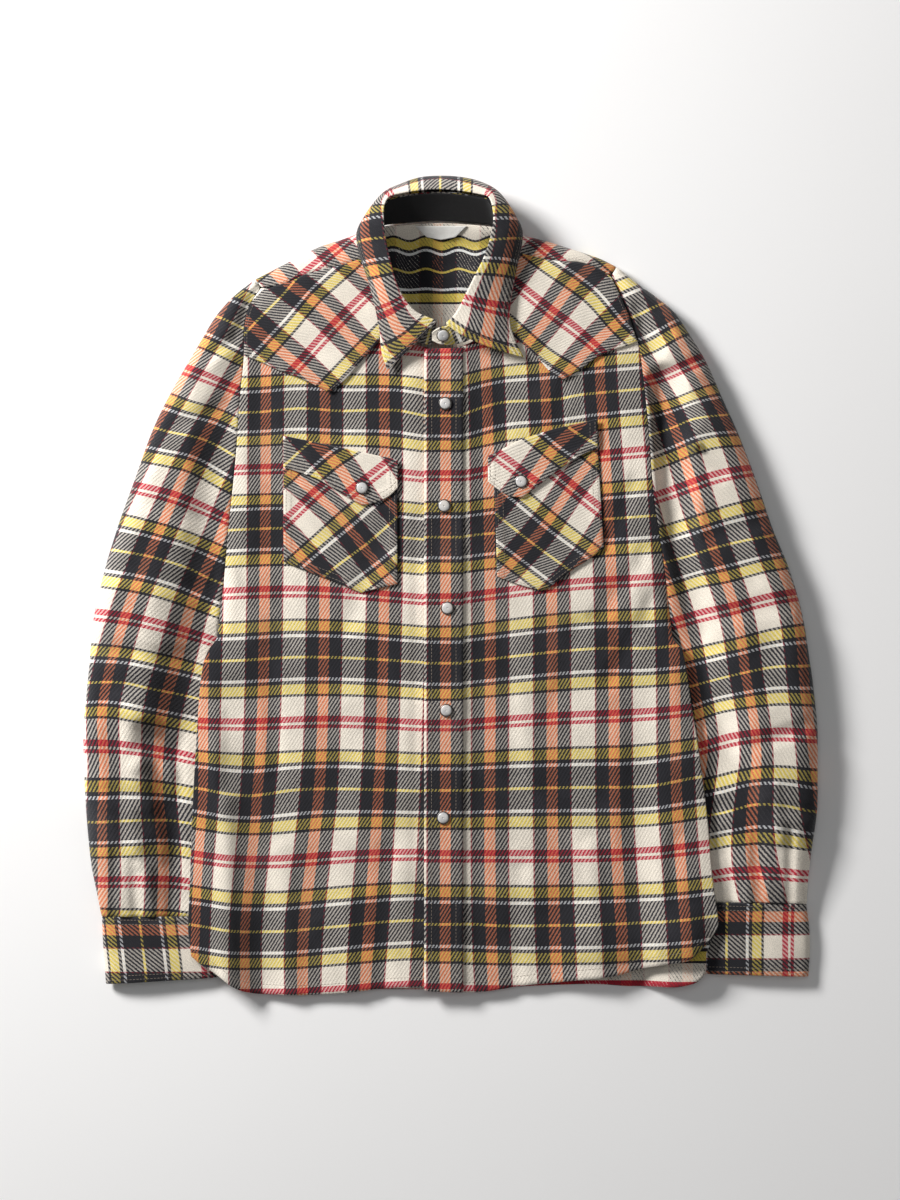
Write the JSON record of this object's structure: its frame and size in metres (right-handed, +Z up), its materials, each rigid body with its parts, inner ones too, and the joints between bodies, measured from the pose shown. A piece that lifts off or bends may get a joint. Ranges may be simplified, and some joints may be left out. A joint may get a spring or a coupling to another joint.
{
  "type": "western snap shirt",
  "caption": "Long-sleeved plaid flannel western shirt with pointed yokes, flap pockets and pearl snaps, laid flat and fastened.",
  "frame": {"origin": "on the surface that the shirt lies on, below the middle of its outline", "axes": "+Z up from the surface, +Y towards the collar, +X towards the wearer's left sleeve"},
  "size_m": [0.698, 0.7778, 0.04],
  "materials": {
    "flannel": "brushed plaid twill",
    "ribbed_cloth": "fine ribbed black cloth",
    "label": "plain woven satin",
    "pearl": "pearl gloss",
    "snap_metal": "polished rim"
  },
  "bodies": {
    "root": {"front_right": "flannel", "front_left": "flannel", "front_band": "flannel", "back": "flannel", "back_yoke": "flannel", "label": "label", "front_yoke_right": "flannel", "front_yoke_left": "flannel", "sleeve_right": "flannel", "sleeve_left": "flannel", "cuff_right": "flannel", "cuff_left": "flannel", "sleeve_placket_right": "flannel", "sleeve_placket_left": "flannel", "collar_stand": "flannel", "stand_lining": "ribbed_cloth", "collar_leaf": "flannel", "pocket_right": "flannel", "pocket_left": "flannel", "flap_right": "flannel", "flap_left": "flannel", "snap_1_cap": "pearl", "snap_1_ring": "snap_metal", "snap_2_cap": "pearl", "snap_2_ring": "snap_metal", "snap_3_cap": "pearl", "snap_3_ring": "snap_metal", "snap_4_cap": "pearl", "snap_4_ring": "snap_metal", "snap_5_cap": "pearl", "snap_5_ring": "snap_metal", "snap_6_cap": "pearl", "snap_6_ring": "snap_metal", "snap_flap_right_cap": "pearl", "snap_flap_right_ring": "snap_metal", "snap_flap_left_cap": "pearl", "snap_flap_left_ring": "snap_metal", "snap_cuff_right_cap": "pearl", "snap_cuff_right_ring": "snap_metal", "snap_cuff_left_cap": "pearl", "snap_cuff_left_ring": "snap_metal"}
  },
  "joints": []
}
